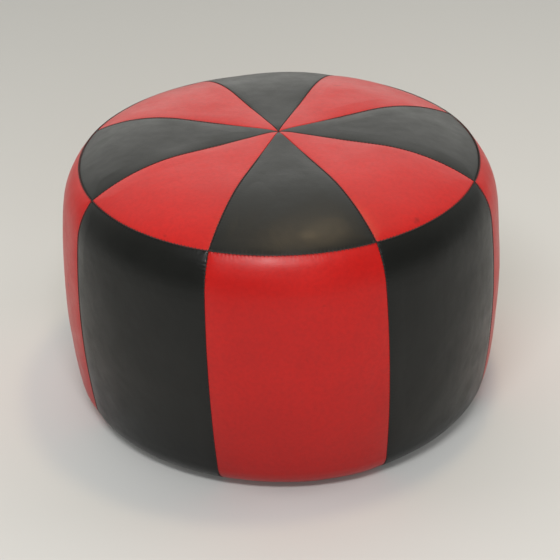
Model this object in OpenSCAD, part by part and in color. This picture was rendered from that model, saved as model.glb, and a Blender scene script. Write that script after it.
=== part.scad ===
// Round patchwork leather pouf: eight top wedges and eight side panels in two
// alternating colours, a zipped base in two halves, a cotton liner and its filling.
// Millimetres, +Z up, origin on the floor at the middle of the pouf, front towards -Y.

/* [Outer shape] */
// Widest diameter of the stuffed pouf
body_d = 520; // [420:1:640]
// Height of the top seam ring above the floor
seam_h = 300; // [240:1:370]
// Rise of the crown above the top seam ring
crown = 31; // [15:1:45]
// Width of the rounded edge of the crown, from the top seam ring inwards to the flat middle
edge_run = 115; // [95:1:140]
// How far the top seam ring lies inside the widest diameter
seam_inset = 28; // [22:0.5:36]
// Height at which the side is widest
belly_h = 150; // [120:1:185]
// How far the long side curve pulls in at the height of the top seam
side_bow = 13; // [9:0.5:16]
// Radius of the puffed shoulder under the top seam
shoulder_r = 80; // [60:1:100]
// Radius of the roll from the side into the base
roll_r = 34; // [26:1:42]

/* [Leather cover] */
// Thickness of the leather
leather_t = 1.4; // [1:0.1:2]
// Width of the seam allowance turned in along every edge
allowance = 8; // [6:0.5:12]
// Gap between the edges of two sewn panels
seam_gap = 0.2; // [0.1:0.05:0.4]
// Clear radius left where the wedge tips meet
tip_r = 1; // [0.8:0.1:2]
// Diameter of the sewing thread
thread_d = 0.9; // [0.6:0.1:1.2]

/* [Base] */
// Width of the flat ring of leather that stands on the floor
foot_w = 33; // [24:1:45]
// Width of the slope from the base seam up to the recessed middle
slope_w = 35; // [25:1:45]
// Height of the recessed middle above the floor
dish_h = 10; // [9:0.5:13]

/* [Zip] */
// Distance from the edge of the recessed middle to the end of the zip opening
zip_margin = 10; // [8:1:30]
// Width of the opening between the two base halves
zip_slot = 16; // [15:0.5:20]
// Distance of the stitching from the edge of the opening
stitch_inset = 3; // [2:0.5:5]
// Width of each zip tape
tape_w = 16; // [12:1:20]
// Thickness of the tapes
tape_t = 0.8; // [0.6:0.1:1]
// How far each tape runs on past the end of the opening
tape_tail = 6; // [3:1:7]
// Distance between two teeth of one row
tooth_pitch = 3.6; // [3.4:0.1:5]
// Thickness of a tooth along the zip
tooth_t = 1.4; // [1:0.1:1.6]
// Height of a tooth
tooth_h = 2.6; // [2.2:0.1:3]
// How far a tooth reaches across the middle of the zip
tooth_mesh = 0.9; // [0.5:0.1:1.2]
// Distance from the middle of the zip to the edge of each tape
cord_y = 2.9; // [2.5:0.1:3.2]
// Length of the tooth jaws that grip the tape
jaw_l = 2.1; // [1.5:0.1:2.2]
// Length of the stops at the two ends of the zip
stop_l = 4; // [3:0.5:6]

/* [Slider and pull] */
// Length of the slider
slider_l = 17; // [15:0.5:20]
// Width of the slider
slider_w = 12.8; // [12.8:0.1:13.4]
// Thickness of the slider plates
plate_t = 1.4; // [1:0.1:1.6]
// Clearance between the slider and the teeth
run_gap = 0.25; // [0.2:0.05:0.3]
// Thickness of the rails along the slider plates
rail_t = 1.1; // [0.8:0.1:1.1]
// Width of the bail that carries the pull tab
bail_w = 3; // [2.4:0.1:3.4]
// Wall around the hole in the bail
bail_wall = 1.1; // [0.9:0.1:1.4]
// Diameter of the hinge pin of the pull tab
pin_d = 1.8; // [1.5:0.1:2]
// Radial clearance of the hinge pin in its hole
pin_clear = 0.05; // [0.03:0.01:0.08]
// Distance from the hinge pin to the tip of the pull tab
tab_l = 28; // [22:1:34]
// Width of the pull tab
tab_w = 9; // [8.6:0.1:11]
// Thickness of the pull tab
tab_t = 1.6; // [1.2:0.1:1.8]
// Diameter of the hole near the tip of the pull tab
tab_hole_d = 4; // [3:0.1:5]

/* [Lining and filling] */
// Thickness of the cotton liner
liner_t = 0.8; // [0.5:0.1:1.2]
// Thickness of the wadding between the foam core and the liner at the belly
wrap_t = 28; // [22:1:40]
// How far the top of the foam core lies below the top seam
core_drop = 38; // [30:1:60]
// Height of the underside of the foam core above the floor
core_z = 45; // [36:1:70]

/* [Hidden] */
$fn = 180;

red_leather = [0.74, 0.13, 0.12];
black_leather = [0.13, 0.14, 0.13];
thread_black = [0.05, 0.05, 0.05];
cotton = [0.87, 0.84, 0.76];
wadding_white = [0.93, 0.93, 0.91];
foam_cream = [0.90, 0.84, 0.62];
tape_black = [0.09, 0.09, 0.10];
zip_brass = [0.72, 0.58, 0.30];

// Panels: number, angle of each, and the angle that opens the seam gap at the rim
panels = 8;
panel_a = 360 / panels;
front_a = -90;
belly_r = body_d / 2;
rim_r = belly_r - seam_inset;
gap_a = 2 * asin(seam_gap / 2 / rim_r);

// Crown: a flat middle and an arc that runs from it down to the top seam ring
flat_r = rim_r - edge_run;
top_z = seam_h + crown;
crown_r = (edge_run * edge_run + crown * crown) / (2 * crown);
crown_c = [flat_r, top_z - crown_r];

// Side: a long arc whose tangent is upright at the belly
side_r = (pow(seam_h - belly_h, 2) + side_bow * side_bow) / (2 * side_bow);
side_c = [belly_r - side_r, belly_h];

// Shoulder: an arc through the top seam ring that meets the side arc tangentially
rim = [rim_r, seam_h];
rim_off = rim - side_c;
rim_dist = norm(rim_off);
inner_r = side_r - shoulder_r;
spread = acos((inner_r * inner_r + rim_dist * rim_dist - shoulder_r * shoulder_r) / (2 * inner_r * rim_dist));
shoulder_a = atan2(rim_off.y, rim_off.x) - spread;
shoulder_c = side_c + inner_r * [cos(shoulder_a), sin(shoulder_a)];
rim_a = atan2(rim.y - shoulder_c.y, rim.x - shoulder_c.x);

// Roll: an arc that meets the side arc and the floor tangentially
roll_a = asin((belly_h - roll_r) / (side_r - roll_r));
roll_c = [side_c.x + (side_r - roll_r) * cos(roll_a), roll_r];
base_r = roll_c.x - foot_w;
dish_r = base_r - slope_w;

// Seam at the rim: the cut runs along the bisector of the crown and the shoulder
crown_a = acos(edge_run / crown_r);
cut_a = (crown_a + rim_a) / 2;
cut_in = [cos(cut_a), sin(cut_a)];
cut_up = [-sin(cut_a), cos(cut_a)];
cut_depth = 60;
cut_out = 5;

// Layers, measured inwards from the outer face of the leather
cover_t = 2 * leather_t;
lay_gap = 0.1;
lap = 4;
weld = 0.3;
thread_in = cover_t + lay_gap;
liner_in = thread_in + thread_d + lay_gap;
filling_in = liner_in + liner_t + lay_gap;
thread_trim = 1.5;
thread_start_r = 2.5;
over = 1;

// Zip: heights from the recessed leather upwards
zip_half = dish_r - zip_margin;
tape_z = dish_h + cover_t + lay_gap;
zip_z = tape_z + tape_t / 2;
tape_half = zip_half + tape_tail;
stop_x = zip_half - 2 * stop_l;
slider_x = stop_x - stop_l / 2 - slider_l / 2 - lay_gap;
tooth_first = -stop_x + stop_l / 2 + tooth_t;
tooth_last = slider_x - tooth_t;
tooth_count = floor((tooth_last - tooth_first) / tooth_pitch);
channel_h = tooth_h + 2 * run_gap;
slider_low = zip_z - channel_h / 2 - plate_t;
bore_r = pin_d / 2 + pin_clear;
grip_gap = 0.05;

// Slider: rounded plates, rails that leave room for the tapes, and the divider between the two rows
corner_r = 3;
rail_gap = 0.35;
divider_nose = 1.6;
divider_mid = 5;
divider_half = 2.1;
divider_end = slider_l / 2 - 2 * lay_gap;
divider_end_half = 1.2;

// Bail and pull tab: the tab droops until its tip is just off the floor
bail_r = bore_r + bail_wall;
bail_shift = 2;
bail_drop = 0.4;
pin_x = slider_x + bail_shift;
pin_z = slider_low - bail_r - bail_drop;
arm_gap = 0.4;
arm_t = 1.7;
eye_wall = 0.4;
eye_r = pin_d / 2 + eye_wall;
tab_clear = 1.5;
tab_start = bail_r + tab_clear;
floor_gap = 0.3;
droop_a = asin((pin_z - tab_t / 2 - floor_gap) / tab_l);

// Liner and filling
slider_headroom = 0.8;
liner_rise = zip_z + channel_h / 2 + plate_t + slider_headroom;
core_r = belly_r - filling_in - wrap_t;
core_top = seam_h - core_drop;
far = body_d + seam_h;

function panel_az(k) = front_a + k * panel_a;
function seam_az(k) = front_a + (k + 0.5) * panel_a;

// Everything inside the outer face moved inwards by t, as half a cross-section.
// Below its tangent point the shoulder circle lies inside the side circle, and above its own
// the roll circle does, so each may lap into the side's band.
module section(t) {
    shoulder_z = belly_h + (side_r - t) * sin(shoulder_a);
    roll_z = belly_h - (side_r - t) * sin(roll_a);
    intersection() {
        union() {
            translate(crown_c) circle(r = crown_r - t);
            square([flat_r, top_z - t]);
        }
        union() {
            intersection() {
                union() {
                    translate(shoulder_c) circle(r = shoulder_r - t);
                    square([shoulder_c.x, far]);
                }
                translate([0, shoulder_z - lap]) square([far, far]);
            }
            intersection() {
                translate(side_c) circle(r = side_r - t);
                translate([0, roll_z]) square([far, shoulder_z - roll_z]);
            }
            intersection() {
                union() {
                    translate(roll_c) circle(r = roll_r - t);
                    square([roll_c.x, far]);
                }
                translate([0, t]) square([far, roll_z - t + lap]);
            }
        }
    }
}

module layer(from, to) {
    difference() {
        section(from);
        section(to);
    }
}

// Half-plane on the crown side of the rim seam, at a distance from the cut
module above_cut(distance) {
    near = rim + cut_up * distance + cut_in * cut_out;
    deep = rim + cut_up * distance - cut_in * cut_depth;
    polygon([near, deep, [tip_r, deep.y], [tip_r, far], [near.x, far]]);
}

// Region on the side panel's side of the rim seam, out to the base seam
module below_cut(distance) {
    near = rim - cut_up * distance + cut_in * cut_out;
    deep = rim - cut_up * distance - cut_in * cut_depth;
    edge = base_r + distance;
    polygon([near, [far, near.y], [far, -over], [edge, -over], [edge, deep.y], deep]);
}

module top_zone() {
    above_cut(seam_gap / 2);
}

module side_zone() {
    below_cut(seam_gap / 2);
}

// A ring or sector of one panel's width, centred on +X
module panel_sweep() {
    rotate([0, 0, -(panel_a - gap_a) / 2])
        rotate_extrude(angle = panel_a - gap_a) children();
}

// The turned-in strips along the two edges of a panel centred on +X
module edge_strips() {
    for (s = [-1, 1])
        rotate([0, 0, s * panel_a / 2])
            translate([0, s > 0 ? -allowance : 0, -over]) cube([far, allowance, far]);
}

// Flat shape in the upright plane at azimuth az, w thick
module upright(az, w) {
    rotate([0, 0, az]) rotate([90, 0, 0]) linear_extrude(w, center = true) children();
}

// Space for the thread, on the inside of the doubled leather
module thread_layer() {
    layer(thread_in, thread_in + thread_d);
}

module top_wedge(k, tint) {
    color(tint) rotate([0, 0, panel_az(k)]) {
        panel_sweep() intersection() {
            layer(0, leather_t);
            top_zone();
        }
        panel_sweep() intersection() {
            layer(leather_t - weld, cover_t);
            top_zone();
            difference() {
                above_cut(0);
                above_cut(seam_gap / 2 + allowance);
            }
        }
        intersection() {
            panel_sweep() intersection() {
                layer(leather_t - weld, cover_t);
                top_zone();
            }
            edge_strips();
        }
    }
}

module side_panel(k, tint) {
    color(tint) rotate([0, 0, panel_az(k)]) {
        panel_sweep() intersection() {
            layer(0, leather_t);
            side_zone();
        }
        panel_sweep() intersection() {
            layer(leather_t - weld, cover_t);
            side_zone();
            difference() {
                side_zone();
                below_cut(seam_gap / 2 + allowance);
            }
        }
        intersection() {
            panel_sweep() intersection() {
                layer(leather_t - weld, cover_t);
                side_zone();
            }
            edge_strips();
        }
    }
}

// Cross-section of the base leather: flat in the middle, sloping down to the base seam
module base_leather(rise) {
    edge = base_r - seam_gap / 2;
    foot = rise + (base_r - edge) * dish_h / slope_w;
    polygon([
        [edge, foot], [edge, foot + leather_t],
        [dish_r, rise + dish_h + leather_t], [0, rise + dish_h + leather_t],
        [0, rise + dish_h], [dish_r, rise + dish_h]
    ]);
}

// Parts of the base leather that are turned in: its rim, its straight edge and the hem of the zip
module turned_base() {
    difference() {
        cylinder(r = base_r, h = far);
        translate([0, 0, -over]) cylinder(r = base_r - allowance, h = far + 2 * over);
    }
    translate([-far, 0, 0]) cube([2 * far, seam_gap / 2 + allowance, far]);
    translate([-zip_half - allowance, 0, 0])
        cube([2 * (zip_half + allowance), zip_slot / 2 + allowance, far]);
}

// Half of the base, lying on the +Y side
module base_half() {
    difference() {
        union() {
            rotate_extrude(angle = 180) base_leather(0);
            intersection() {
                rotate_extrude(angle = 180) base_leather(leather_t);
                turned_base();
            }
        }
        translate([-far, -far, -over]) cube([2 * far, far + seam_gap / 2, far]);
        translate([-zip_half, -over, -over]) cube([2 * zip_half, zip_slot / 2 + over, far]);
    }
}

module base_half_front() {
    color(black_leather) rotate([0, 0, 180]) base_half();
}

module base_half_back() {
    color(black_leather) base_half();
}

// Lockstitch thread along the seams between the wedges
module top_seam_thread() {
    color(thread_black)
        for (k = [0 : panels - 1])
            upright(seam_az(k), thread_d) intersection() {
                thread_layer();
                above_cut(thread_trim);
                translate([thread_start_r, 0]) square([far, far]);
            }
}

module rim_seam_thread() {
    color(thread_black)
        rotate_extrude() translate(rim - cut_in * (thread_in + thread_d)) circle(d = thread_d);
}

module side_seam_thread() {
    color(thread_black)
        for (k = [0 : panels - 1])
            upright(seam_az(k), thread_d) intersection() {
                thread_layer();
                below_cut(thread_trim);
            }
}

// Thread around the base seam, and of the short seams from the ends of the zip
module base_seam_thread() {
    start = zip_half + thread_trim;
    end = base_r - thread_trim;
    low = dish_h + thread_in;
    end_low = thread_in + thread_trim * dish_h / slope_w;
    color(thread_black) {
        rotate_extrude() translate([base_r, thread_in + thread_d / 2]) circle(d = thread_d);
        for (side = [0, 1])
            mirror([side, 0, 0]) upright(0, thread_d) polygon([
                [start, low], [dish_r, low], [end, end_low],
                [end, end_low + thread_d], [dish_r, low + thread_d], [start, low + thread_d]
            ]);
    }
}

// Two rows of stitching under the hems of the zip
module zip_stitching() {
    color(thread_black)
        for (side = [0, 1])
            mirror([0, side, 0])
                translate([-zip_half, zip_slot / 2 + stitch_inset, dish_h - thread_d / 2])
                    rotate([0, 90, 0]) cylinder(d = thread_d, h = 2 * zip_half);
}

// Liner: a cotton bag of a top disc, a band and a base disc
module liner_top() {
    color(cotton) rotate_extrude() intersection() {
        layer(liner_in, liner_in + liner_t);
        translate([-tip_r, 0]) above_cut(seam_gap / 2);
    }
}

module liner_band() {
    color(cotton) rotate_extrude() intersection() {
        layer(liner_in, liner_in + liner_t);
        below_cut(seam_gap / 2 + allowance / 4);
    }
}

// Height line of the liner base, lifted by h
module liner_floor(h) {
    polygon([
        [0, liner_rise + h], [dish_r, liner_rise + h], [base_r, liner_in + h],
        [base_r, far], [0, far]
    ]);
}

module liner_base() {
    color(cotton) rotate_extrude() intersection() {
        difference() {
            liner_floor(0);
            liner_floor(liner_t);
        }
        square([base_r, far]);
    }
}

// Space inside the liner
module filling() {
    difference() {
        section(filling_in);
        difference() {
            square([base_r + lay_gap, liner_rise + filling_in]);
            liner_floor(liner_t + lay_gap);
        }
    }
}

module crown_wadding() {
    color(wadding_white) rotate_extrude() intersection() {
        filling();
        translate([0, core_top + lay_gap]) square([far, far]);
    }
}

module side_wadding() {
    color(wadding_white) rotate_extrude() intersection() {
        filling();
        translate([core_r + lay_gap, core_z]) square([far, core_top - core_z]);
    }
}

module base_wadding() {
    color(wadding_white) rotate_extrude() intersection() {
        filling();
        square([far, core_z - lay_gap]);
    }
}

module foam_core() {
    color(foam_cream)
        translate([0, 0, core_z]) cylinder(r = core_r, h = core_top - core_z);
}

// Zip half on the +Y side
module zip_tape() {
    translate([-tape_half, cord_y, tape_z]) cube([2 * tape_half, tape_w, tape_t]);
}

// Block with jaws that grip the edge of the tape, from y = head to the end of the jaws
module gripped(length, head) {
    difference() {
        translate([-length / 2, head, zip_z - tooth_h / 2])
            cube([length, cord_y + jaw_l - head, tooth_h]);
        translate([-length, cord_y - grip_gap, tape_z - grip_gap])
            cube([2 * length, far, tape_t + 2 * grip_gap]);
    }
}

module zip_row(first) {
    for (i = [0 : tooth_count - 1])
        translate([first + i * tooth_pitch, 0, 0]) gripped(tooth_t, -tooth_mesh);
}

module zip_tape_front() {
    color(tape_black) mirror([0, 1, 0]) zip_tape();
}

module zip_tape_back() {
    color(tape_black) zip_tape();
}

module zip_teeth_front() {
    color(zip_brass) mirror([0, 1, 0]) zip_row(tooth_first);
}

module zip_teeth_back() {
    color(zip_brass) zip_row(tooth_first + tooth_pitch / 2);
}

module zip_top_stops() {
    color(zip_brass)
        for (side = [0, 1])
            mirror([0, side, 0])
                translate([stop_x, 0, 0]) gripped(stop_l, cord_y - tooth_mesh);
}

module zip_bottom_stop() {
    color(zip_brass)
        for (side = [0, 1])
            mirror([0, side, 0])
                translate([-stop_x, 0, 0]) gripped(stop_l, -grip_gap);
}

// Flat plate with rounded corners, centred on the slider
module slider_plate(z) {
    long = slider_l - 2 * corner_r;
    wide = slider_w - 2 * corner_r;
    translate([0, 0, z]) linear_extrude(plate_t) {
        square([slider_l, wide], center = true);
        square([long, slider_w], center = true);
        for (x = [-long / 2, long / 2], y = [-wide / 2, wide / 2])
            translate([x, y]) circle(r = corner_r);
    }
}

module zip_slider() {
    low = slider_low + plate_t;
    high = low + channel_h;
    rail_l = slider_l - 2 * corner_r;
    slot = tape_t / 2 + rail_gap;
    color(zip_brass) translate([slider_x, 0, 0]) {
        slider_plate(slider_low);
        slider_plate(high);
        for (s = [-1, 1], z = [[low, zip_z - slot], [zip_z + slot, high]])
            translate([-rail_l / 2, s > 0 ? slider_w / 2 - rail_t : -slider_w / 2, z[0]])
                cube([rail_l, rail_t, z[1] - z[0]]);
        translate([0, 0, low]) linear_extrude(channel_h)
            polygon([
                [divider_nose, 0], [divider_mid, divider_half], [divider_end, divider_end_half],
                [divider_end, -divider_end_half], [divider_mid, -divider_half]
            ]);
        translate([pin_x - slider_x, 0, 0]) rotate([90, 0, 0])
            difference() {
                translate([0, 0, -bail_w / 2]) linear_extrude(bail_w) {
                    translate([0, pin_z]) circle(r = bail_r);
                    translate([-bail_r, pin_z]) square([2 * bail_r, slider_low - pin_z]);
                }
                translate([0, pin_z, -bail_w]) cylinder(r = bore_r, h = 2 * bail_w);
            }
    }
}

// Pull tab, hanging from the bail with its tip just off the floor
module zip_pull_tab() {
    arm_y = bail_w / 2 + arm_gap;
    tip_round = tab_w / 2;
    color(zip_brass) translate([pin_x, 0, pin_z]) rotate([0, -droop_a, 0]) {
        translate([0, arm_y + arm_t, 0]) rotate([90, 0, 0])
            cylinder(d = pin_d, h = 2 * (arm_y + arm_t));
        for (s = [-1, 1])
            translate([0, s > 0 ? arm_y + arm_t : -arm_y, 0]) {
                rotate([90, 0, 0]) cylinder(r = eye_r, h = arm_t);
                translate([-tab_start - over, -arm_t, -tab_t / 2])
                    cube([tab_start + over, arm_t, tab_t]);
            }
        difference() {
            translate([0, 0, -tab_t / 2]) linear_extrude(tab_t) {
                translate([-tab_l + tip_round, -tab_w / 2]) square([tab_l - tip_round - tab_start, tab_w]);
                translate([-tab_l + tip_round, 0]) circle(r = tip_round);
            }
            translate([-tab_l + tip_round, 0, -tab_t]) cylinder(d = tab_hole_d, h = 2 * tab_t);
        }
    }
}

top_wedge(0, black_leather);  // black_top_front
top_wedge(1, red_leather);  // red_top_front_right
top_wedge(2, black_leather);  // black_top_right
top_wedge(3, red_leather);  // red_top_back_right
top_wedge(4, black_leather);  // black_top_back
top_wedge(5, red_leather);  // red_top_back_left
top_wedge(6, black_leather);  // black_top_left
top_wedge(7, red_leather);  // red_top_front_left
side_panel(0, red_leather);  // red_side_front
side_panel(1, black_leather);  // black_side_front_right
side_panel(2, red_leather);  // red_side_right
side_panel(3, black_leather);  // black_side_back_right
side_panel(4, red_leather);  // red_side_back
side_panel(5, black_leather);  // black_side_back_left
side_panel(6, red_leather);  // red_side_left
side_panel(7, black_leather);  // black_side_front_left
base_half_front();
base_half_back();
top_seam_thread();
rim_seam_thread();
side_seam_thread();
base_seam_thread();
zip_stitching();
liner_top();
liner_band();
liner_base();
crown_wadding();
side_wadding();
base_wadding();
foam_core();
zip_tape_front();
zip_tape_back();
zip_teeth_front();
zip_teeth_back();
zip_top_stops();
zip_bottom_stop();
zip_slider();
zip_pull_tab();
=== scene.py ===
"""Round patchwork leather pouf: puffed leather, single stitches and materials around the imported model."""
import math

import bpy
import numpy as np
from mathutils import Matrix, Vector


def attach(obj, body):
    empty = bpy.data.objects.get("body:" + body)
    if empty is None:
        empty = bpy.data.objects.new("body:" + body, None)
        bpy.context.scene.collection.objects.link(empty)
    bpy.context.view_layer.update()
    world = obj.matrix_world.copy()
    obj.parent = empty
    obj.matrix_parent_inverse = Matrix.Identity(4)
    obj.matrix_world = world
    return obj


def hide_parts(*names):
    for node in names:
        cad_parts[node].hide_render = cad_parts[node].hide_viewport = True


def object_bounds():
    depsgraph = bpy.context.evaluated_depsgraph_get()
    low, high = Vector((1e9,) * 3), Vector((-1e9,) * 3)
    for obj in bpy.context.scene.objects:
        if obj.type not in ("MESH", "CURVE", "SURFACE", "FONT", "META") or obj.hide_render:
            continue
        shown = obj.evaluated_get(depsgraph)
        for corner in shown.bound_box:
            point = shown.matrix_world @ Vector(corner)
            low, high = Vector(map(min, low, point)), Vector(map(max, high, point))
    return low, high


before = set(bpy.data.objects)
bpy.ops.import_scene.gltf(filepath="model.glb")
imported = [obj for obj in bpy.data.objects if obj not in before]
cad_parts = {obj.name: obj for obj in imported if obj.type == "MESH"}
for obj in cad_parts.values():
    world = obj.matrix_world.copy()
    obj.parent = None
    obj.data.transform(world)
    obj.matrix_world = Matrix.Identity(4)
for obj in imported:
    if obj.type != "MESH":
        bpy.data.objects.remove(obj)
CAD_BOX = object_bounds()

# Driving dimensions of the pouf, in metres, as in the CAD model
BELLY_R = (CAD_BOX[1].x - CAD_BOX[0].x) / 2
RIM_H = 0.300  # height of the top seam ring
CROWN = 0.031  # rise of the crown over it
EDGE_RUN = 0.115  # width of the crown's rounded edge
RIM_INSET = 0.028  # how far the top seam ring lies inside the belly
BELLY_H = 0.150  # height at which the pouf is widest
SIDE_BOW = 0.013  # how far the arc of the side falls in from the belly to the height of the rim
SHOULDER_R = 0.080
ROLL_R = 0.034
FOOT_W = 0.033  # width of the flat foot between the roll and the base seam
SLOPE_W = 0.035  # width of the slope from the base seam up to the flat middle of the base
DISH_H = 0.010  # height of that middle over the floor
ZIP_MARGIN = 0.010  # flat margin past each end of the zip
ZIP_SLOT = 0.016  # width of the slot between the hems
STITCH_INSET = 0.003  # distance of the hem stitches from the slot
PANELS = 8
HALF_PANEL = math.pi / PANELS
FRONT = -math.pi / 2

# How the leather is drawn in at its seams and gathered between the stitches
LEATHER_T = 0.0012
LIFT = -0.0003  # height of the swollen middle of a panel over the CAD surface
PULL_IN = 0.0013  # how much lower a panel lies where its filling doesn't swell it
DEEPEST = 0.0021  # lowest that the slack leather may lie, so that nothing inside shows through
FOLD_R = 0.0010  # radius of the turned edge
FLANGE = 0.0022  # how far the turned edge runs on behind it
NIP = 0.0005  # dip beside a seam, and the width over which it dies away
NIP_W = 0.0045
PITCH = 0.0042  # one stitch and the gap after it
PUCKER = 0.00045  # height of the gathers between the stitches, and the width over which they die away
PUCKER_W = 0.0022
DIMPLE = 0.0016  # dip where the eight wedges meet, and its radius
DIMPLE_R = 0.008
TIP_R = 0.0008  # distance from the axis at which the tips of the wedges end
TAPER_W = 0.06  # a strip narrower than this has its seams drawn in less
EDGE_FADE = 0.02  # distance from a seam over which the unevenness of the hide grows
LEAN = 0.028  # how far round the pouf a side seam leans from the rim to the base, in radians
ON_FLOOR = 0.0001  # lowest height of the leather

# Spacing of the points: even cells in step with the stitches, and finer rows beside a seam
CELL = PITCH / 3
CELL_MARGIN = 0.3  # share of a cell left free between the even cells and the finer rows
EDGE_STEPS = np.array([0, 0.15, 0.4, 0.8, 1.3, 1.9, 2.7, 3.8, 5.4, 7.6, 10.2]) * 0.001

WEDGES = [
    ("black_top_front", "black"), ("red_top_front_right", "red"),
    ("black_top_right", "black"), ("red_top_back_right", "red"),
    ("black_top_back", "black"), ("red_top_back_left", "red"),
    ("black_top_left", "black"), ("red_top_front_left", "red"),
]
SIDES = [
    ("red_side_front", "red"), ("black_side_front_right", "black"),
    ("red_side_right", "red"), ("black_side_back_right", "black"),
    ("red_side_back", "red"), ("black_side_back_left", "black"),
    ("red_side_left", "red"), ("black_side_front_left", "black"),
]


# ---------------------------------------------------------------- outline of the pouf

def arc(centre, radius, start, end):
    """Piece of the half section along a circle: its length, and its point and normal at a distance."""
    def at(s):
        a = start - s / radius
        return centre[0] + radius * math.cos(a), centre[1] + radius * math.sin(a), math.cos(a), math.sin(a)
    return radius * (start - end), at


def line(start, end):
    """Piece of the half section along a straight line, with its normal to the left of the way along it."""
    length = math.dist(start, end)
    dx, dz = (end[0] - start[0]) / length, (end[1] - start[1]) / length
    def at(s):
        return start[0] + dx * s, start[1] + dz * s, -dz, dx
    return length, at


def outline():
    """Half section of the pouf: the crown from the axis out, and the side from the rim to the base seam.

    The last three values are the radii of the rim and the base seam, and the slope of the rim's normal.
    """
    rim_r = BELLY_R - RIM_INSET
    crown_r = (EDGE_RUN**2 + CROWN**2) / (2 * CROWN)
    crown_c = (rim_r - EDGE_RUN, RIM_H + CROWN - crown_r)
    crown_a = math.acos(EDGE_RUN / crown_r)
    side_r = ((RIM_H - BELLY_H) ** 2 + SIDE_BOW**2) / (2 * SIDE_BOW)
    side_c = (BELLY_R - side_r, BELLY_H)
    off = (rim_r - side_c[0], RIM_H - side_c[1])
    reach = math.hypot(*off)
    inner = side_r - SHOULDER_R
    swing = math.acos((inner**2 + reach**2 - SHOULDER_R**2) / (2 * inner * reach))
    shoulder_a = math.atan2(off[1], off[0]) - swing
    shoulder_c = (side_c[0] + inner * math.cos(shoulder_a), side_c[1] + inner * math.sin(shoulder_a))
    rim_a = math.atan2(RIM_H - shoulder_c[1], rim_r - shoulder_c[0])
    roll_a = math.asin((BELLY_H - ROLL_R) / (side_r - ROLL_R))
    roll_c = (side_c[0] + (side_r - ROLL_R) * math.cos(roll_a), ROLL_R)
    base_r = roll_c[0] - FOOT_W
    crown = [
        line((TIP_R, RIM_H + CROWN), (crown_c[0], RIM_H + CROWN)),
        arc(crown_c, crown_r, math.pi / 2, crown_a),
    ]
    side = [
        arc(shoulder_c, SHOULDER_R, rim_a, shoulder_a),
        arc(side_c, side_r, shoulder_a, -roll_a),
        arc(roll_c, ROLL_R, -roll_a, -math.pi / 2),
        line((roll_c[0], 0.0), (base_r, 0.0)),
    ]
    return crown, side, rim_r, base_r, (crown_a + rim_a) / 2


CROWN_LINE, SIDE_LINE, RIM_R, BASE_R, RIM_A = outline()
DISH_R = BASE_R - SLOPE_W
ZIP_HALF = DISH_R - ZIP_MARGIN


def length_of(section):
    return sum(length for length, _ in section)


def along(section, s):
    """Point and outward normal of the section at the distance s along it, as (r, z, nr, nz)."""
    for length, at in section:
        if s <= length:
            return at(s)
        s -= length
    return section[-1][1](section[-1][0])


def base_height(r):
    """Height of the underside of the base: flat in the middle, sloping to the floor at the base seam."""
    t = np.clip((BASE_R - r) / SLOPE_W, 0, 1)
    return DISH_H * t * t * (3 - 2 * t)


# ---------------------------------------------------------------- meshes

def shade_smooth(mesh):
    mesh.polygons.foreach_set("use_smooth", [True] * len(mesh.polygons))


def add_mesh(name, points, faces):
    """A smooth mesh object in the scene."""
    mesh = bpy.data.meshes.new(name)
    mesh.from_pydata(points, [], faces)
    shade_smooth(mesh)
    obj = bpy.data.objects.new(name, mesh)
    bpy.context.scene.collection.objects.link(obj)
    return obj


def grid_mesh(name, grid, flip=False):
    """A mesh of quads from rows of points."""
    rows, columns = grid.shape[:2]
    k = np.arange(rows * columns).reshape(rows, columns)
    faces = np.stack([k[:-1, :-1], k[1:, :-1], k[1:, 1:], k[:-1, 1:]], axis=-1).reshape(-1, 4)
    return add_mesh(name, grid.reshape(-1, 3).tolist(), (faces[:, ::-1] if flip else faces).tolist())


def apply_modifiers(obj):
    """Puts the mesh that an object's modifiers make in place of its own."""
    depsgraph = bpy.context.evaluated_depsgraph_get()
    mesh = bpy.data.meshes.new_from_object(obj.evaluated_get(depsgraph))
    obj.modifiers.clear()
    old, obj.data = obj.data, mesh
    bpy.data.meshes.remove(old)


def thicken(obj):
    """Turns a sheet into a closed skin that lies inwards of its outer face."""
    solid = obj.modifiers.new("thickness", "SOLIDIFY")
    solid.thickness = LEATHER_T
    solid.offset = -1
    apply_modifiers(obj)
    shade_smooth(obj.data)


# ---------------------------------------------------------------- leather blown out by its filling

SIM_ROWS = 44
SIM_COLUMNS = 26
SIM_FRAMES = 20
SIM_PRESSURE = 4.0
SIM_QUALITY = 6
CLOTH_MASS = 0.3
CLOTH_STRETCH = 20
CLOTH_SHEAR = 10
CLOTH_BEND = 2
SIM_SHARE = 0.5  # share of the simulated swelling; the rest is a plain pillow shape
FULL_SWELL = 90  # percentile of a panel's points that counts as fully swollen
NO_SWELL = 1e-5  # a swelling smaller than this is none


def sim_grid(section, mid):
    """Coarse points of one panel and their outward normals."""
    points, normals = [], []
    for s in np.linspace(0, length_of(section), SIM_ROWS):
        r, z, nr, nz = along(section, s)
        for a in np.linspace(-HALF_PANEL, HALF_PANEL, SIM_COLUMNS) + mid:
            points.append((r * math.cos(a), r * math.sin(a), z))
            normals.append((nr * math.cos(a), nr * math.sin(a), nz))
    return points, normals


def sim_faces(base):
    """Quads between one panel's coarse points, numbered from base on, and the points along its seams."""
    faces, seams = [], []
    for i in range(SIM_ROWS):
        for j in range(SIM_COLUMNS):
            k = base + i * SIM_COLUMNS + j
            if i in (0, SIM_ROWS - 1) or j in (0, SIM_COLUMNS - 1):
                seams.append(k)
            if i < SIM_ROWS - 1 and j < SIM_COLUMNS - 1:
                faces.append((k, k + SIM_COLUMNS, k + SIM_COLUMNS + 1, k + 1))
    return faces, seams


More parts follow.
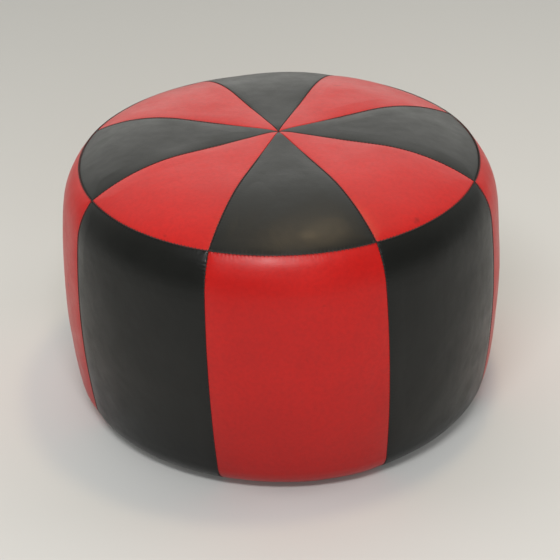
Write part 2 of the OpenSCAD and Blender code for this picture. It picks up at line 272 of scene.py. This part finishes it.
def add_cloth(obj):
    """Cloth that is held at its seams and blown out from inside."""
    cloth = obj.modifiers.new("cloth", "CLOTH")
    settings = cloth.settings
    settings.quality = SIM_QUALITY
    settings.mass = CLOTH_MASS
    settings.tension_stiffness = settings.compression_stiffness = CLOTH_STRETCH
    settings.shear_stiffness = CLOTH_SHEAR
    settings.bending_stiffness = CLOTH_BEND
    settings.use_pressure = True
    settings.uniform_pressure_force = SIM_PRESSURE
    settings.vertex_group_mass = "seams"
    settings.effector_weights.gravity = 0
    cloth.point_cache.frame_start, cloth.point_cache.frame_end = 1, SIM_FRAMES


def blown_out(points, faces, seams):
    """Places of the points when the pressure has blown the cover out."""
    obj = add_mesh("cover_cloth", points, faces)
    mesh = obj.data
    obj.vertex_groups.new(name="seams").add(seams, 1.0, "REPLACE")
    add_cloth(obj)
    for step in range(1, SIM_FRAMES + 1):
        bpy.context.scene.frame_set(step)
    blown = obj.evaluated_get(bpy.context.evaluated_depsgraph_get()).to_mesh()
    place = np.empty(len(points) * 3)
    blown.vertices.foreach_get("co", place)
    bpy.data.objects.remove(obj, do_unlink=True)
    bpy.data.meshes.remove(mesh)
    bpy.context.scene.frame_set(1)
    return place.reshape(-1, 3)


def swelling():
    """How far each part of each panel swells, from 0 at its seams to 1, by a cloth simulation."""
    down = np.sin(np.linspace(0, math.pi, SIM_ROWS))[:, None]
    plain = np.sqrt(down * np.sin(np.linspace(0, math.pi, SIM_COLUMNS)))
    middles = [FRONT + k * 2 * HALF_PANEL for k in range(PANELS)]
    panels = [(section, mid) for section in (CROWN_LINE, SIDE_LINE) for mid in middles]
    points, normals, faces, seams = [], [], [], []
    for section, mid in panels:
        more_faces, more_seams = sim_faces(len(points))
        more, outward = sim_grid(section, mid)
        points += more
        normals += outward
        faces += more_faces
        seams += more_seams
    out = ((blown_out(points, faces, seams) - np.array(points)) * np.array(normals)).sum(axis=1)
    maps = []
    for part in out.reshape(len(panels), SIM_ROWS, SIM_COLUMNS):
        top = np.percentile(part, FULL_SWELL)
        swollen = np.clip(part / top, 0, 1) if top > NO_SWELL else plain
        maps.append(SIM_SHARE * swollen + (1 - SIM_SHARE) * plain)
    return maps


def sampled(grid, u, v):
    """Value of a grid at places u, v from 0 to 1 down and across it."""
    x = np.clip(u, 0, 1) * (grid.shape[0] - 1)
    y = np.clip(v, 0, 1) * (grid.shape[1] - 1)
    i = np.minimum(x.astype(int), grid.shape[0] - 2)
    j = np.minimum(y.astype(int), grid.shape[1] - 2)
    x, y = x - i, y - j
    return (
        grid[i, j] * (1 - x) * (1 - y) + grid[i + 1, j] * x * (1 - y)
        + grid[i, j + 1] * (1 - x) * y + grid[i + 1, j + 1] * x * y
    )


# ---------------------------------------------------------------- shape of sewn leather

def stations(length):
    """Distances along a strip between two seams, fine near both and a cell apart between."""
    first = math.ceil(EDGE_STEPS[-1] / CELL + CELL_MARGIN)
    middle = np.arange(first, (length - EDGE_STEPS[-1]) / CELL - CELL_MARGIN) * CELL
    return np.concatenate([EDGE_STEPS, middle, length - EDGE_STEPS[::-1]])


def spread(width, near, share):
    """Distances across a strip, row by row: fine near both seams, and at shares of the width between."""
    inside = near[:, -1:] + (width - 2 * near[:, -1:]) * share
    return np.concatenate([near, inside, width - near[:, ::-1]], axis=1)


def column_shares():
    """Shares of a panel's width at which its columns stand: a cell apart at the rim, from the middle out."""
    open_width = 2 * HALF_PANEL * RIM_R - 2 * EDGE_STEPS[-1]
    count = int(open_width / 2 / CELL - CELL_MARGIN)
    return 0.5 + np.arange(-count, count + 1) * CELL / open_width


def edge_depth(distance, squeeze=1.0):
    """How far the leather turns in right at a seam."""
    fold = np.clip((FOLD_R - distance) / FOLD_R, 0, 1)
    return NIP * squeeze * np.exp(-distance / NIP_W) + FOLD_R * (1 - np.sqrt(1 - fold**2))


def puckers(distance, run):
    """Small gathers between the stitches, dying away from the seam."""
    return PUCKER * np.exp(-distance / PUCKER_W) * np.cos(2 * math.pi * run / PITCH)


def wave_set(count, shortest, longest, height, seed):
    """Directions, phases and heights of waves that add up to a slow unevenness."""
    rng = np.random.default_rng(seed)
    turn = rng.normal(size=(count, 3))
    turn /= np.linalg.norm(turn, axis=1)[:, None]
    lengths = np.exp(rng.uniform(math.log(shortest), math.log(longest), count))
    phases = rng.uniform(0, 2 * math.pi, count)
    return turn * (2 * math.pi / lengths)[:, None], phases, height / math.sqrt(count)


WAVES = [
    wave_set(count=14, shortest=0.09, longest=0.30, height=0.0008, seed=3),
    wave_set(count=22, shortest=0.03, longest=0.07, height=0.00013, seed=5),
    wave_set(count=30, shortest=0.010, longest=0.02, height=0.00003, seed=8),
]


def unevenness(points):
    """Slow waves of a hide stretched over its filling."""
    total = np.zeros(points.shape[:-1])
    for turns, phases, height in WAVES:
        for turn, phase in zip(turns, phases):
            total += height * np.sin(points @ turn + phase)
    return total


def with_flange(point, normal, out):
    """Lays a sheet out from its points along their normals, and turns its border in."""
    border = np.pad(out, 1, mode="edge")
    border[0] -= FLANGE
    border[-1] -= FLANGE
    border[:, 0] -= FLANGE
    border[:, -1] -= FLANGE
    wide = ((1, 1), (1, 1), (0, 0))
    return np.pad(point, wide, mode="edge") + np.pad(normal, wide, mode="edge") * border[..., None]


def panel_grid(section, mid, foot, swell):
    """Outer surface of one panel as rows of points from its top end down, with its border turned in.

    A side panel has a foot, and seams at both ends. A wedge of the crown comes to a tip on the axis.
    """
    length = length_of(section)
    run = stations(length)
    r, z, nr, nz = np.array([along(section, s) for s in run]).T[..., None]
    width = 2 * r * HALF_PANEL
    squeeze = np.minimum(1.0, width / TAPER_W)
    t = spread(width, EDGE_STEPS * squeeze, column_shares())
    to_side = np.minimum(t, width - t)
    s = run[:, None] + 0 * t
    to_end = np.minimum(s, length - s) if foot else length - s
    a = t / r - HALF_PANEL + mid + (LEAN * s / length if foot else 0)
    normal = np.stack([nr * np.cos(a), nr * np.sin(a), nz + 0 * a], axis=-1)
    point = np.stack([r * np.cos(a), r * np.sin(a), z + 0 * a], axis=-1)
    blown = sampled(swell, s / length, t / width)
    fade = np.minimum(1.0, np.minimum(to_side, to_end) / EDGE_FADE) * squeeze
    slack = LIFT * squeeze - PULL_IN * squeeze * (1 - blown) + unevenness(point) * fade
    out = (
        np.maximum(slack, -DEEPEST)
        - (0 if foot else DIMPLE * np.exp(-((r / DIMPLE_R) ** 2)))
        - np.maximum(edge_depth(to_side, squeeze), edge_depth(to_end, squeeze))
        + puckers(to_side, s) * squeeze
        + puckers(to_end, t - width / 2) * squeeze
    )
    grid = with_flange(point, normal, out)
    grid[..., 2] = np.maximum(grid[..., 2], ON_FLOOR)
    return grid


def dress(obj, body, material, slot, *nodes):
    """Gives a new piece its material, the body that it rides on and the nodes that it stands for."""
    obj.data.materials.clear()
    obj.data.materials.append(material)
    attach(obj, body)
    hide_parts(*nodes)


def make_panel(node, colour, k, section, foot, swell, leathers):
    """The k-th panel round the pouf: a wedge of the crown, or a side panel with a foot under the pouf."""
    mid = FRONT + k * 2 * HALF_PANEL
    obj = grid_mesh(node + "_leather", panel_grid(section, mid, foot, swell))
    thicken(obj)
    dress(obj, "pouf", leathers[colour], colour + "_leather", node)


# ---------------------------------------------------------------- base

HEM_RAMP = 0.004  # length over which the slot narrows at an end of the zip
SEAM_GAP = 0.0002  # half the gap between the halves beyond the zip
NARROWEST = 0.0001  # least width of a half, at its two corners
BASE_TAPER_W = 0.03  # where a half is narrower than this, its seams are drawn in less
BASE_COLUMNS = 57
BASE_WAVES = 1.3  # the unevenness of the base is this many times finer than that of the panels


def base_half(name, side):
    """Half of the base: a turned hem along the zip, the slope and the base seam."""
    x = stations(2 * BASE_R)[1:-1, None] - BASE_R
    opening = np.clip((ZIP_HALF - np.abs(x)) / HEM_RAMP, 0, 1)
    inner = SEAM_GAP + (ZIP_SLOT / 2 - SEAM_GAP) * opening
    outer = np.maximum(np.sqrt(np.maximum(BASE_R**2 - x**2, 0)), inner + NARROWEST)
    width = outer - inner
    near = EDGE_STEPS * np.minimum(1.0, width / BASE_TAPER_W)
    t = spread(width, near, np.linspace(0, 1, BASE_COLUMNS)[1:-1])
    y = inner + t
    xx = x + 0 * y
    r = np.hypot(xx, y)
    to_rim = np.maximum(BASE_R - r, 0)
    point = np.stack([xx, y * side, base_height(r)], axis=-1)
    fade = np.minimum(1.0, np.minimum(t, to_rim) / EDGE_FADE)
    lift = (
        np.maximum(edge_depth(t), edge_depth(to_rim))
        - puckers(t, xx) - puckers(to_rim, r * np.arctan2(y, xx))
        + unevenness(point * BASE_WAVES) * fade
    )
    point[..., 2] = np.maximum(point[..., 2] + lift, ON_FLOOR)
    point = np.pad(point, ((0, 0), (1, 1), (0, 0)), mode="edge")
    point[:, 0, 2] += FLANGE
    point[:, -1, 2] += FLANGE
    obj = grid_mesh(name, point, flip=side > 0)
    thicken(obj)
    return obj


# ---------------------------------------------------------------- stitches

STITCH_R = 0.00040
STITCH_SHARE = 0.74  # share of the pitch that a stitch fills
RUNG_L = 0.0034
RUNG_R = 0.00050
RUNG_SINK = 0.0002  # how much deeper a rung lies than the stitches
SEAM_DEPTH = 0.0018  # depths of the stitches under the surface
RIM_DEPTH = 0.0012
END_DEPTH = 0.0012
HEM_OUT = 0.0004  # how far the stitches of the hems stand out of the base
FIRST_STITCH = 0.002  # distance from the end of a seam to its first stitch
STEP = 0.001  # short way along a seam that gives its direction
TIP = 1e-6  # radius of a stitch at its tips
DOWN = Vector((0, 0, -1))


def grain(length, radius, sides=8, rings=6):
    """Points and faces of one stitch: a short rod with round ends, lying along X."""
    points, faces = [], []
    for i in range(rings + 1):
        t = -1 + 2 * i / rings
        r = radius * math.sqrt(max(0.0, 1 - abs(t) ** 3)) + TIP
        for j in range(sides):
            a = 2 * math.pi * j / sides
            points.append(Vector((t * length / 2, r * math.cos(a), r * math.sin(a))))
    for i in range(rings):
        for j in range(sides):
            k = (j + 1) % sides
            faces.append((i * sides + j, i * sides + k, (i + 1) * sides + k, (i + 1) * sides + j))
    faces.append(tuple(range(sides)))
    faces.append(tuple(rings * sides + j for j in reversed(range(sides))))
    return points, faces


def stitch_mesh(name, places, rungs=True):
    """One mesh of separate stitches, with a short rung across the seam between each two.

    Each place is (point, direction along the seam, outward normal).
    """
    shape, shape_faces = grain(PITCH * STITCH_SHARE, STITCH_R)
    rung, _ = grain(RUNG_L, RUNG_R)
    points, faces = [], []
    for p, seam, normal in places:
        x = seam.normalized()
        z = (normal - x * normal.dot(x)).normalized()
        y = z.cross(x)
        kinds = [(shape, p, Matrix((x, y, z)))]
        if rungs:
            kinds.append((rung, p + x * PITCH / 2 - z * RUNG_SINK, Matrix((y, -x, z))))
        for kind, place, axes in kinds:
            base = len(points)
            turn = axes.transposed()
            points += [place + turn @ q for q in kind]
            faces += [tuple(base + i for i in f) for f in shape_faces]
    return add_mesh(name, points, faces)


def section_places(section, azimuths, lean=0.0):
    """Stitch places up and down the seams between neighbouring panels."""
    places = []
    length = length_of(section)

    def place_at(s, azimuth):
        r, z, nr, nz = along(section, s)
        a = azimuth + lean * s / length
        point = Vector((r * math.cos(a), r * math.sin(a), z))
        return point, Vector((nr * math.cos(a), nr * math.sin(a), nz))

    for azimuth in azimuths:
        for i in range(int(length / PITCH)):
            s = (i + 0.5) * PITCH
            if s < FIRST_STITCH:
                continue
            p, n = place_at(s, azimuth)
            q, _ = place_at(s + STEP, azimuth)
            places.append((p - n * SEAM_DEPTH, q - p, n))
    return places


def ring_places(r, z, nr, nz, depth):
    """Stitch places round a level seam."""
    places = []
    count = round(2 * math.pi * r / PITCH)
    for i in range(count):
        a = 2 * math.pi * (i + 0.5) / count
        n = Vector((nr * math.cos(a), nr * math.sin(a), nz))
        p = Vector((r * math.cos(a), r * math.sin(a), z))
        places.append((p - n * depth, Vector((-math.sin(a), math.cos(a), 0)), n))
    return places


def hem_places():
    """Stitch places along the two hems beside the zip."""
    places = []
    count = round(2 * ZIP_HALF / PITCH)
    for y in (-1, 1):
        for i in range(count):
            x = -ZIP_HALF + (i + 0.5) * PITCH
            place = Vector((x, y * (ZIP_SLOT / 2 + STITCH_INSET), DISH_H - HEM_OUT))
            places.append((place, Vector((1, 0, 0)), DOWN))
    return places


def end_places():
    """Stitch places on the short seams from the ends of the zip to the base seam."""
    places = []
    count = round((BASE_R - ZIP_HALF) / PITCH)
    for side in (-1, 1):
        for i in range(count):
            x = ZIP_HALF + (i + 0.5) * PITCH
            z = float(base_height(np.array(x)))
            rise = float(base_height(np.array(x + STEP))) - z
            places.append((Vector((side * x, 0, z + END_DEPTH)), Vector((side * STEP, 0, rise)), DOWN))
    return places


# ---------------------------------------------------------------- materials

# The last colour of each leather tints both its stain spots and the painted shade towards the floor.
RED_LEATHER = {
    "base": (0.50, 0.009, 0.007), "deep": (0.33, 0.006, 0.006),
    "pale": (0.58, 0.06, 0.045), "stain_and_shade": (0.16, 0.006, 0.006),
}
BLACK_LEATHER = {
    "base": (0.0062, 0.0068, 0.0060), "deep": (0.0045, 0.0048, 0.0044),
    "pale": (0.025, 0.024, 0.022), "stain_and_shade": (0.0055, 0.0055, 0.005),
}
LEATHER_ROUGHNESS = 0.36
LEATHER_SPECULAR = 0.32
PAINTED_SHADE_TOP = 0.17  # height above the floor up to which painted shade darkens the leather
GREY_FLOOR = (0.60, 0.60, 0.59)


def new_material(name):
    material = bpy.data.materials.new(name)
    material.use_nodes = True
    tree = material.node_tree
    return material, tree, tree.nodes["Principled BSDF"]


def set_shader(shader, **values):
    """Sets constants on the shader's own sockets, such as specular_ior_level."""
    for key, value in values.items():
        name = key.replace("_", " ").title().replace("Ior", "IOR")
        shader.inputs[name].default_value = value


def object_place(tree):
    """Place on the object in its own coordinates."""
    return tree.nodes.new("ShaderNodeTexCoord").outputs["Object"]


def add(tree, kind, where, **values):
    """A texture node with the given place and input values."""
    node = tree.nodes.new(kind)
    tree.links.new(where, node.inputs["Vector"])
    for key, value in values.items():
        node.inputs[key.title()].default_value = value
    return node


def noise_of(tree, where, scale, detail=3.0, rough=0.5):
    node = add(tree, "ShaderNodeTexNoise", where, scale=scale, detail=detail, roughness=rough)
    return node.outputs["Fac"]


def ramp_of(tree, value, stops):
    """Colour ramp of (position, colour) stops."""
    node = tree.nodes.new("ShaderNodeValToRGB")
    elements = node.color_ramp.elements
    while len(elements) < len(stops):
        elements.new(0.5)
    for element, (position, colour) in zip(elements, stops):
        element.position = position
        element.color = (*colour, 1)
    tree.links.new(value, node.inputs["Fac"])
    return node.outputs["Color"]


def level_of(tree, value, *stops):
    """Grey ramp of (position, level) stops."""
    return ramp_of(tree, value, [(position, (level,) * 3) for position, level in stops])


def mix_of(tree, blend, factor, a, b):
    """Mix of two colours, each a socket or a constant."""
    node = tree.nodes.new("ShaderNodeMix")
    node.data_type = "RGBA"
    node.blend_type = blend
    for socket, value in ((node.inputs[0], factor), (node.inputs[6], a), (node.inputs[7], b)):
        if hasattr(value, "node"):
            tree.links.new(value, socket)
        elif isinstance(value, tuple):
            socket.default_value = (*value, 1)
        else:
            socket.default_value = value
    return node.outputs[2]


def bump_of(tree, shader, heights):
    """Stacks bumps of (height socket, strength, distance) onto a shader."""
    last = None
    for height, strength, distance in heights:
        node = tree.nodes.new("ShaderNodeBump")
        node.inputs["Strength"].default_value = strength
        node.inputs["Distance"].default_value = distance
        tree.links.new(height, node.inputs["Height"])
        if last is not None:
            tree.links.new(last, node.inputs["Normal"])
        last = node.outputs["Normal"]
    tree.links.new(last, shader.inputs["Normal"])


def leather_dye(tree, where, base, deep, pale, stain_and_shade):
    """Cloudy dye with mottling, rubbed patches, a few spots, and painted shade darkening it towards the
    floor.
    """
    cloud = level_of(tree, noise_of(tree, where, 11.0, 4.0, 0.55), (0.25, 0.35), (0.60, 0.0))
    mottle = level_of(tree, noise_of(tree, where, 210.0, 5.0, 0.65), (0.40, 0.0), (0.72, 0.50))
    rub = level_of(tree, noise_of(tree, where, 26.0, 6.0, 0.65), (0.66, 0.0), (0.86, 0.22))
    spots = level_of(tree, noise_of(tree, where, 55.0, 2.0, 0.4), (0.74, 0.0), (0.79, 0.55))
    place = tree.nodes.new("ShaderNodeSeparateXYZ")
    tree.links.new(where, place.inputs["Vector"])
    # painted shade: the leather is darkened towards the floor, where less light reaches it
    painted_shade = level_of(tree, place.outputs["Z"], (0.0, 0.34), (PAINTED_SHADE_TOP, 0.0))
    dye = mix_of(tree, "MIX", cloud, base, deep)
    for mask, colour in ((mottle, deep), (rub, pale), (spots, stain_and_shade), (painted_shade, stain_and_shade)):
        dye = mix_of(tree, "MIX", mask, dye, colour)
    return dye


def leather_material(name, colours):
    """Smooth glazed leather with a fine pore grain, cloudy dye and rubbed patches."""
    material, tree, shader = new_material(name)
    where = object_place(tree)
    tree.links.new(leather_dye(tree, where, **colours), shader.inputs["Base Color"])
    pores = add(tree, "ShaderNodeTexVoronoi", where, scale=900.0)
    pores.feature = "DISTANCE_TO_EDGE"
    creases = noise_of(tree, where, 330.0, 5.0, 0.6)
    shine = noise_of(tree, where, 38.0, 5.0, 0.6)
    gloss = level_of(tree, shine, (0.3, LEATHER_ROUGHNESS - 0.05), (0.75, LEATHER_ROUGHNESS + 0.07))
    tree.links.new(gloss, shader.inputs["Roughness"])
    set_shader(shader, specular_ior_level=LEATHER_SPECULAR)
    bump_of(tree, shader, [(creases, 0.16, 0.0006), (pores.outputs["Distance"], 0.16, 0.0004)])
    return material


def thread_material():
    """Waxed black thread, twisted."""
    material, tree, shader = new_material("waxed_black_thread")
    twist = add(tree, "ShaderNodeTexWave", object_place(tree), scale=900.0, distortion=1.0).outputs["Fac"]
    tint = ramp_of(tree, twist, [(0.0, (0.008, 0.007, 0.007)), (1.0, (0.03, 0.028, 0.027))])
    tree.links.new(tint, shader.inputs["Base Color"])
    set_shader(shader, roughness=0.55)
    bump_of(tree, shader, [(twist, 0.5, 0.0002)])
    return material


def woven_material(name, light, dark, per_metre, roughness=0.9, depth=0.0003):
    """Plain weave from two crossed waves."""
    material, tree, shader = new_material(name)
    where = object_place(tree)
    waves = []
    for direction in ("X", "Y"):
        wave = add(tree, "ShaderNodeTexWave", where, scale=per_metre)
        wave.bands_direction = direction
        waves.append(wave.outputs["Fac"])
    weave = mix_of(tree, "MULTIPLY", 1.0, waves[0], waves[1])
    speck = level_of(tree, noise_of(tree, where, 60.0, 5.0, 0.6), (0.4, 0.0), (0.8, 0.35))
    tint = mix_of(tree, "MIX", speck, ramp_of(tree, weave, [(0.0, dark), (0.6, light)]), dark)
    tree.links.new(tint, shader.inputs["Base Color"])
    set_shader(shader, roughness=roughness, specular_ior_level=0.2)
    bump_of(tree, shader, [(weave, 0.7, depth)])
    return material


def porous_material(name, light, dark, scale):
    """Foam cells or matted fibre."""
    material, tree, shader = new_material(name)
    where = object_place(tree)
    cells = add(tree, "ShaderNodeTexVoronoi", where, scale=scale).outputs["Distance"]
    clump = noise_of(tree, where, scale / 6, 6.0, 0.7)
    tint = ramp_of(tree, cells, [(0.0, dark), (0.5, light)])
    tint = mix_of(tree, "MIX", level_of(tree, clump, (0.35, 0.0), (0.8, 0.5)), tint, dark)
    tree.links.new(tint, shader.inputs["Base Color"])
    set_shader(shader, roughness=0.95, specular_ior_level=0.15)
    bump_of(tree, shader, [(cells, 0.6, 0.001), (clump, 0.5, 0.002)])
    return material


def brass_material():
    """Brass of the zip, darkened in places with age."""
    material, tree, shader = new_material("aged_zip_brass")
    where = object_place(tree)
    age = noise_of(tree, where, 140.0, 6.0, 0.65)
    tint = ramp_of(tree, age, [(0.35, (0.60, 0.43, 0.17)), (0.72, (0.30, 0.19, 0.07))])
    tree.links.new(tint, shader.inputs["Base Color"])
    tree.links.new(level_of(tree, age, (0.3, 0.26), (0.8, 0.48)), shader.inputs["Roughness"])
    set_shader(shader, metallic=1.0)
    bump_of(tree, shader, [(noise_of(tree, where, 900.0, 3.0, 0.6), 0.15, 0.0002)])
    return material


def floor_material():
    material, _, shader = new_material("pale_floor")
    set_shader(shader, base_color=(*GREY_FLOOR, 1), roughness=0.9, specular_ior_level=0.1)
    return material


# ---------------------------------------------------------------- putting it together

def build_cover(leathers):
    swells = swelling()
    for k, (node, colour) in enumerate(WEDGES):
        make_panel(node, colour, k, CROWN_LINE, False, swells[k], leathers)
    for k, (node, colour) in enumerate(SIDES):
        make_panel(node, colour, k, SIDE_LINE, True, swells[PANELS + k], leathers)
    for node, side in (("base_half_front", -1), ("base_half_back", 1)):
        dress(base_half(node + "_leather", side), "pouf", leathers["black"], "black_leather", node)


def build_stitches(thread):
    azimuths = [FRONT + (k + 0.5) * 2 * HALF_PANEL for k in range(PANELS)]
    rim = ring_places(RIM_R, RIM_H, math.cos(RIM_A), math.sin(RIM_A), RIM_DEPTH)
    base_ring = ring_places(BASE_R, 0, 0, -1, SEAM_DEPTH)
    sets = [
        ("top_seam_stitches", section_places(CROWN_LINE, azimuths), "top_seam_thread"),
        ("rim_seam_stitches", rim, "rim_seam_thread"),
        ("side_seam_stitches", section_places(SIDE_LINE, azimuths, LEAN), "side_seam_thread"),
        ("base_seam_stitches", base_ring + end_places(), "base_seam_thread"),
        ("zip_hem_stitches", hem_places(), "zip_stitching"),
    ]
    for name, places, node in sets:
        dress(stitch_mesh(name, places, node != "zip_stitching"), "pouf", thread, "thread", node)


def paint(nodes, material):
    for node in nodes:
        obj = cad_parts[node]
        obj.data.materials.clear()
        obj.data.materials.append(material)


def paint_cad_nodes():
    """Materials of the parts that keep their CAD meshes: the zip and all that lies inside."""
    cotton = woven_material("calico_lining", (0.78, 0.73, 0.60), (0.52, 0.47, 0.36), 420.0)
    wadding = porous_material("cotton_wadding", (0.86, 0.86, 0.83), (0.66, 0.66, 0.62), 260.0)
    foam = porous_material("chip_foam", (0.82, 0.72, 0.42), (0.55, 0.42, 0.20), 420.0)
    tape = woven_material(
        "zip_tape_weave", (0.035, 0.035, 0.038), (0.008, 0.008, 0.009), 900.0, roughness=0.85, depth=0.0002
    )
    paint(["liner_top", "liner_band", "liner_base"], cotton)
    paint(["crown_wadding", "side_wadding", "base_wadding"], wadding)
    paint(["foam_core"], foam)
    paint(["zip_tape_front", "zip_tape_back"], tape)
    metal = ["teeth_front", "teeth_back", "top_stops", "bottom_stop", "slider", "pull_tab"]
    paint(["zip_" + part for part in metal], brass_material())


# ---------------------------------------------------------------- floor, light and camera

FLOOR_SIZE = 14.0
FLOOR_DROP = 0.0005
LIT_POINT = (0, 0, 0.2)
WARM = (1, 0.74, 0.42)
SKY_BRIGHTEST = (0, 0.85, 0.53)  # direction of the brightest part of the studio's walls
SKY = [
    (0.0, (0.17, 0.17, 0.162)), (0.56, (0.40, 0.40, 0.38)),
    (0.84, (1.12, 1.12, 1.06)), (1.0, (1.45, 1.45, 1.38)),
]
FILL_SIZE = (1.0, 1.0)
FILLS = [  # name, place and power
    ("fill_from_front", (0.3, -2.4, 1.0), 15),
    ("fill_from_left", (-2.3, 0.2, 0.9), 11),
    ("fill_from_right", (2.3, 0.2, 0.9), 12),
]

# Camera as worked out from the object's outline: its way round and up from the front, its roll and its lens
CAMERA_TURN = math.radians(3.27)
CAMERA_RISE = math.radians(30.61)
CAMERA_ROLL = math.radians(-1.35)
CAMERA_DISTANCE = 1.950
CAMERA_SENSOR = 36
CAMERA_LENS = 104.0
CAMERA_SHIFT = (-0.0029, -0.0258)


def build_floor():
    bpy.ops.mesh.primitive_plane_add(size=FLOOR_SIZE, location=(0, 0, -FLOOR_DROP))
    floor = bpy.context.object
    floor.name = "floor"
    floor.data.materials.append(floor_material())


def area_light(name, place, size, power, colour=(1, 1, 1)):
    """A soft lamp aimed at the pouf."""
    lamp = bpy.data.lights.new(name, "AREA")
    lamp.shape = "RECTANGLE"
    lamp.size, lamp.size_y = size
    lamp.energy = power
    lamp.color = colour
    obj = bpy.data.objects.new(name, lamp)
    obj.location = place
    obj.rotation_euler = (Vector(LIT_POINT) - Vector(place)).to_track_quat("-Z", "Y").to_euler()
    bpy.context.scene.collection.objects.link(obj)
    return obj


def build_world():
    """Studio walls, bright behind the pouf and above it and darker in front."""
    world = bpy.data.worlds.new("studio")
    world.use_nodes = True
    tree = world.node_tree
    sky = tree.nodes.new("ShaderNodeVectorMath")
    sky.operation = "DOT_PRODUCT"
    sky.inputs[1].default_value = SKY_BRIGHTEST
    tree.links.new(tree.nodes.new("ShaderNodeTexCoord").outputs["Generated"], sky.inputs[0])
    tree.links.new(ramp_of(tree, sky.outputs["Value"], SKY), tree.nodes["Background"].inputs["Color"])
    bpy.context.scene.world = world


def build_lights():
    area_light("key_from_above", place=(-0.25, -1.28, 1.80), size=(0.8, 0.30), power=20)
    area_light("warm_lamp", place=(0.24, 0.08, 2.0), size=(0.20, 0.20), power=6, colour=WARM)
    for name, place, power in FILLS:
        area_light(name, place, FILL_SIZE, power).visible_glossy = False


def build_camera():
    level = math.cos(CAMERA_RISE)
    back = Vector((-math.sin(CAMERA_TURN) * level, -math.cos(CAMERA_TURN) * level, math.sin(CAMERA_RISE)))
    data = bpy.data.cameras.new("camera")
    data.sensor_width = CAMERA_SENSOR
    data.lens = CAMERA_LENS
    data.shift_x, data.shift_y = CAMERA_SHIFT
    cam = bpy.data.objects.new("camera", data)
    cam.location = Vector((0, 0, RIM_H / 2)) + back * CAMERA_DISTANCE
    cam.rotation_mode = "QUATERNION"
    aim = (-back).to_track_quat("-Z", "Y")
    cam.rotation_quaternion = aim @ Matrix.Rotation(CAMERA_ROLL, 3, "Z").to_quaternion()
    bpy.context.scene.collection.objects.link(cam)
    bpy.context.scene.camera = cam


def build_all():
    leathers = {
        "red": leather_material("red_glazed_leather", RED_LEATHER),
        "black": leather_material("black_glazed_leather", BLACK_LEATHER),
    }
    build_cover(leathers)
    build_stitches(thread_material())
    paint_cad_nodes()
    build_floor()
    build_world()
    build_lights()
    build_camera()
    bpy.context.scene.view_settings.view_transform = "Standard"


build_all()
